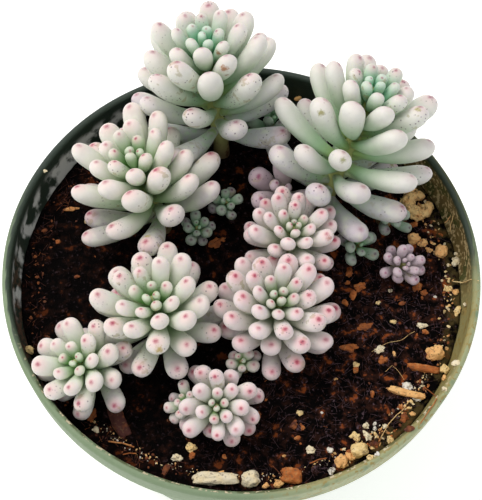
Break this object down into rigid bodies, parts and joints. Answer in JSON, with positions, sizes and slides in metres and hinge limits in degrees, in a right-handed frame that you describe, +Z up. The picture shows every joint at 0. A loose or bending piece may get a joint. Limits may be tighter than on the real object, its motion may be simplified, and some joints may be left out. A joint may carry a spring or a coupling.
{
  "type": "potted graptopetalum",
  "caption": "Succulent with powdery, club-shaped leaves in rosettes on short fleshy stems, growing in peat with loose stones in a round tapered nursery pot.",
  "frame": {"origin": "middle of the pot's base, on the surface that it stands on", "axes": "+Z up the pot's axis, -Y toward the viewer of the picture, +X to the viewer's right"},
  "size_m": [0.152, 0.1594, 0.1505],
  "materials": {
    "pot_plastic": "moulded polypropylene, chalky and matt",
    "peat": "damp crumbly peat with fibres",
    "leaf": "fleshy leaf under a matt white bloom",
    "pumice": "rough porous grain",
    "perlite": "rough white grain",
    "bark": "fibrous broken bark"
  },
  "bodies": {
    "root": {"bark_chip": "bark", "bark_flake_left": "bark", "bark_stick_lower": "bark", "bark_stick_upper": "bark", "bark_strip": "bark", "bud_front": "leaf", "bud_left": "leaf", "bud_middle": "leaf", "perlite_block": "perlite", "pot": "pot_plastic", "pumice_by_shoots": "pumice", "pumice_curl": "pumice", "pumice_front": "pumice", "pumice_front_right": "pumice", "pumice_right": "pumice", "pumice_tan_right": "pumice", "shoot_back_left": "leaf", "shoot_back_right": "leaf", "shoot_between": "leaf", "shoot_centre": "leaf", "shoot_centre_back": "leaf", "shoot_far_left": "leaf", "shoot_front": "leaf", "shoot_front_left": "leaf", "shoot_front_offset": "leaf", "shoot_left": "leaf", "shoot_middle_low": "leaf", "shoot_right_green": "leaf", "shoot_right_low": "leaf", "shoot_right_violet": "leaf", "soil": "peat"}
  },
  "joints": []
}
